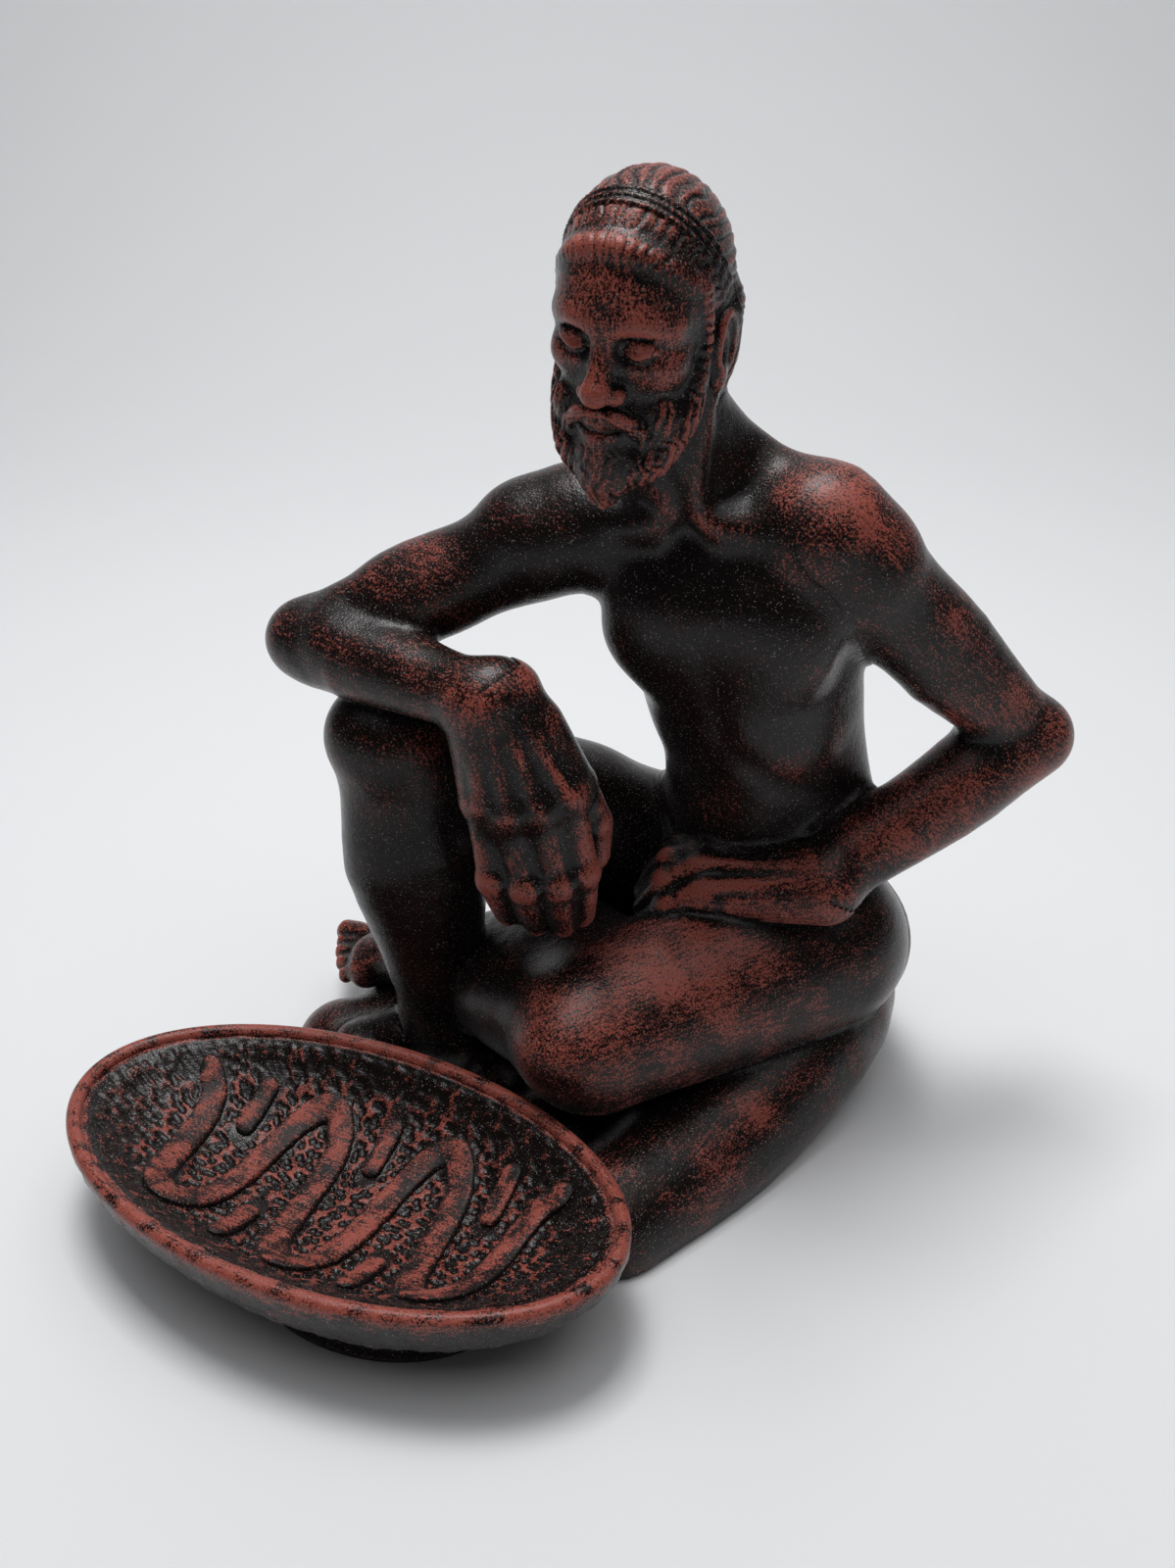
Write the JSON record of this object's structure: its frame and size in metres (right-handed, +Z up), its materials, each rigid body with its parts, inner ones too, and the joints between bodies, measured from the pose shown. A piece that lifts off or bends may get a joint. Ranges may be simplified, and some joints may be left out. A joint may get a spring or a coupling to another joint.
{
  "type": "pottery figurine with dish",
  "caption": "Fired clay figurine of a seated bearded figure with one knee raised, on a low mound with an oval relief dish in front; stands free on a shelf or table.",
  "frame": {"origin": "on the table plane, in the flat underside of the seat mound, below the middle of the figure's lap", "axes": "+Z up, the figure's chest faces -Y, +X is towards the figure's left"},
  "size_m": [0.213, 0.1478, 0.2071],
  "materials": {
    "stained_terracotta": "fired red clay stained near black, satin, rubbed back to red on the high spots",
    "rubbed_terracotta": "fired red clay strip, stain rubbed back"
  },
  "bodies": {
    "root": {"seat_mound": "stained_terracotta", "torso": "stained_terracotta", "head": "stained_terracotta", "right_arm": "stained_terracotta", "right_hand": "stained_terracotta", "left_arm": "stained_terracotta", "left_hand": "stained_terracotta", "right_leg": "stained_terracotta", "right_foot": "stained_terracotta", "left_leg": "stained_terracotta", "left_foot": "stained_terracotta", "dish_bowl": "stained_terracotta", "dish_foot": "stained_terracotta", "dish_meander": "rubbed_terracotta", "dish_bar_1": "rubbed_terracotta", "dish_bar_2": "rubbed_terracotta", "dish_bar_3": "rubbed_terracotta", "dish_bar_4": "rubbed_terracotta", "dish_bar_5": "rubbed_terracotta"}
  },
  "joints": []
}
